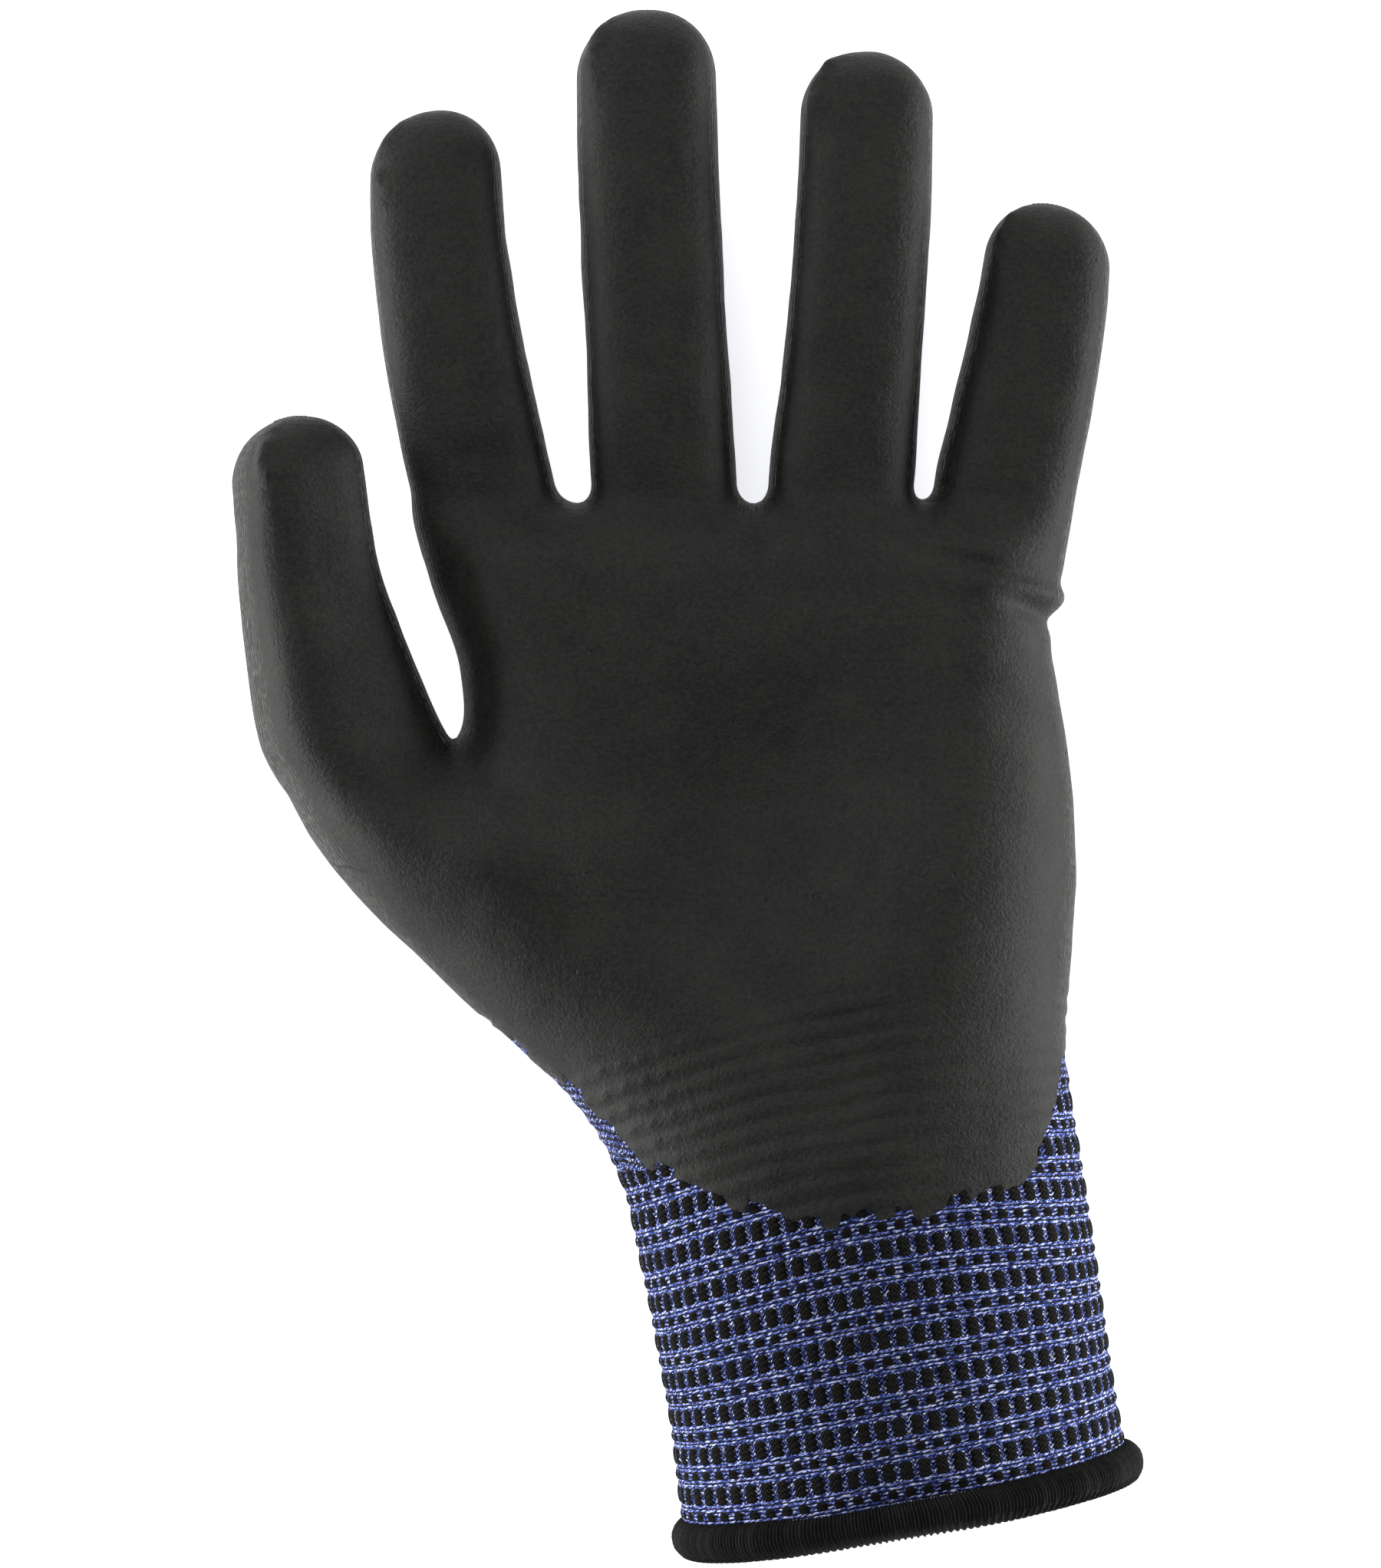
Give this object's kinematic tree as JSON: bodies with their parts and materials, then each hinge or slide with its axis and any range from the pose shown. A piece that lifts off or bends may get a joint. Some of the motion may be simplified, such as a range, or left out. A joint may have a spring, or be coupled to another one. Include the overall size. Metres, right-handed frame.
{
  "type": "cut resistant glove",
  "caption": "Left-hand work glove with a palm-side foam coating, hinged finger and thumb stalls, and a ribbed knit cuff with an overlocked hem.",
  "frame": {"origin": "centre of the outline at the surface the glove lies on, on its back", "axes": "+Y towards the fingertips, +X away from the thumb, +Z out of the palm"},
  "size_m": [0.1415, 0.2445, 0.0433],
  "materials": {
    "foam_coating": "matt foam, fine pores, lightly creased",
    "liner_knit": "fine seamless knit, blue and black heather",
    "cuff_knit": "ribbed knit in blue heather and black yarn",
    "elastic_yarn": "covered elastic yarn, dull",
    "hem_thread": "tightly wrapped overlock thread",
    "closing_thread": "linked thread, dull"
  },
  "bodies": {
    "hand": {"palm_liner": "liner_knit", "palm_coating": "foam_coating"},
    "cuff": {"cuff_knit": "cuff_knit", "cuff_elastic": "elastic_yarn", "cuff_hem": "hem_thread"},
    "index_base": {"index_base_liner": "liner_knit", "index_base_coating": "foam_coating"},
    "index_middle": {"index_middle_liner": "liner_knit", "index_middle_coating": "foam_coating"},
    "index_tip": {"index_tip_liner": "liner_knit", "index_tip_coating": "foam_coating", "index_closing_stitch": "closing_thread"},
    "middle_base": {"middle_base_liner": "liner_knit", "middle_base_coating": "foam_coating"},
    "middle_middle": {"middle_middle_liner": "liner_knit", "middle_middle_coating": "foam_coating"},
    "middle_tip": {"middle_tip_liner": "liner_knit", "middle_tip_coating": "foam_coating", "middle_closing_stitch": "closing_thread"},
    "ring_base": {"ring_base_liner": "liner_knit", "ring_base_coating": "foam_coating"},
    "ring_middle": {"ring_middle_liner": "liner_knit", "ring_middle_coating": "foam_coating"},
    "ring_tip": {"ring_tip_liner": "liner_knit", "ring_tip_coating": "foam_coating", "ring_closing_stitch": "closing_thread"},
    "little_base": {"little_base_liner": "liner_knit", "little_base_coating": "foam_coating"},
    "little_middle": {"little_middle_liner": "liner_knit", "little_middle_coating": "foam_coating"},
    "little_tip": {"little_tip_liner": "liner_knit", "little_tip_coating": "foam_coating", "little_closing_stitch": "closing_thread"},
    "thumb_base": {"thumb_base_liner": "liner_knit", "thumb_base_coating": "foam_coating"},
    "thumb_tip": {"thumb_tip_liner": "liner_knit", "thumb_tip_coating": "foam_coating", "thumb_closing_stitch": "closing_thread"}
  },
  "joints": [
    {"name": "wrist", "type": "hinge", "parent": "hand", "child": "cuff", "pos_m": [0.0265, -0.069, 0.028], "axis": [-0.9848, -0.1736, 0], "range_deg": [0, 45]},
    {"name": "index_knuckle", "type": "hinge", "parent": "hand", "child": "index_base", "pos_m": [-0.032, 0.0475, 0.0204], "axis": [0.9918, 0.1281, 0], "range_deg": [0, 75]},
    {"name": "index_middle_joint", "type": "hinge", "parent": "index_base", "child": "index_middle", "pos_m": [-0.0366, 0.068, 0.02156], "axis": [0.9918, 0.1281, 0], "range_deg": [0, 75]},
    {"name": "index_tip_joint", "type": "hinge", "parent": "index_middle", "child": "index_tip", "pos_m": [-0.039, 0.0865, 0.02154], "axis": [0.9918, 0.1281, 0], "range_deg": [0, 50]},
    {"name": "middle_knuckle", "type": "hinge", "parent": "hand", "child": "middle_base", "pos_m": [-0.0042, 0.048, 0.01997], "axis": [0.9993, 0.0384, 0], "range_deg": [0, 75]},
    {"name": "middle_middle_joint", "type": "hinge", "parent": "middle_base", "child": "middle_middle", "pos_m": [-0.0054, 0.071, 0.02154], "axis": [0.9993, 0.0384, 0], "range_deg": [0, 75]},
    {"name": "middle_tip_joint", "type": "hinge", "parent": "middle_middle", "child": "middle_tip", "pos_m": [-0.0067, 0.0965, 0.02222], "axis": [0.9993, 0.0384, 0], "range_deg": [0, 50]},
    {"name": "ring_knuckle", "type": "hinge", "parent": "hand", "child": "ring_base", "pos_m": [0.0236, 0.0475, 0.01997], "axis": [0.9981, -0.0614, 0], "range_deg": [0, 75]},
    {"name": "ring_middle_joint", "type": "hinge", "parent": "ring_base", "child": "ring_middle", "pos_m": [0.0257, 0.0695, 0.02109], "axis": [0.9981, -0.0614, 0], "range_deg": [0, 75]},
    {"name": "ring_tip_joint", "type": "hinge", "parent": "ring_middle", "child": "ring_tip", "pos_m": [0.0272, 0.0925, 0.0215], "axis": [0.9981, -0.0614, 0], "range_deg": [0, 50]},
    {"name": "little_knuckle", "type": "hinge", "parent": "hand", "child": "little_base", "pos_m": [0.0494, 0.0465, 0.01922], "axis": [0.9869, -0.1611, 0], "range_deg": [0, 75]},
    {"name": "little_middle_joint", "type": "hinge", "parent": "little_base", "child": "little_middle", "pos_m": [0.0528, 0.0625, 0.01987], "axis": [0.9869, -0.1611, 0], "range_deg": [0, 75]},
    {"name": "little_tip_joint", "type": "hinge", "parent": "little_middle", "child": "little_tip", "pos_m": [0.0555, 0.077, 0.01966], "axis": [0.9869, -0.1611, 0], "range_deg": [0, 50]},
    {"name": "thumb_knuckle", "type": "hinge", "parent": "hand", "child": "thumb_base", "pos_m": [-0.04799, 0.00671, 0.02674], "axis": [-0.8923, -0.1587, 0.4226], "range_deg": [-40, 0]},
    {"name": "thumb_tip_joint", "type": "hinge", "parent": "thumb_base", "child": "thumb_tip", "pos_m": [-0.05586, 0.03152, 0.0269], "axis": [-0.8923, -0.1587, 0.4226], "range_deg": [-50, 0]}
  ],
  "couplings": [
    {"joint": "index_tip_joint", "follows": "index_middle_joint", "ratio": 0.6},
    {"joint": "middle_tip_joint", "follows": "middle_middle_joint", "ratio": 0.6},
    {"joint": "ring_tip_joint", "follows": "ring_middle_joint", "ratio": 0.6},
    {"joint": "little_tip_joint", "follows": "little_middle_joint", "ratio": 0.6}
  ]
}
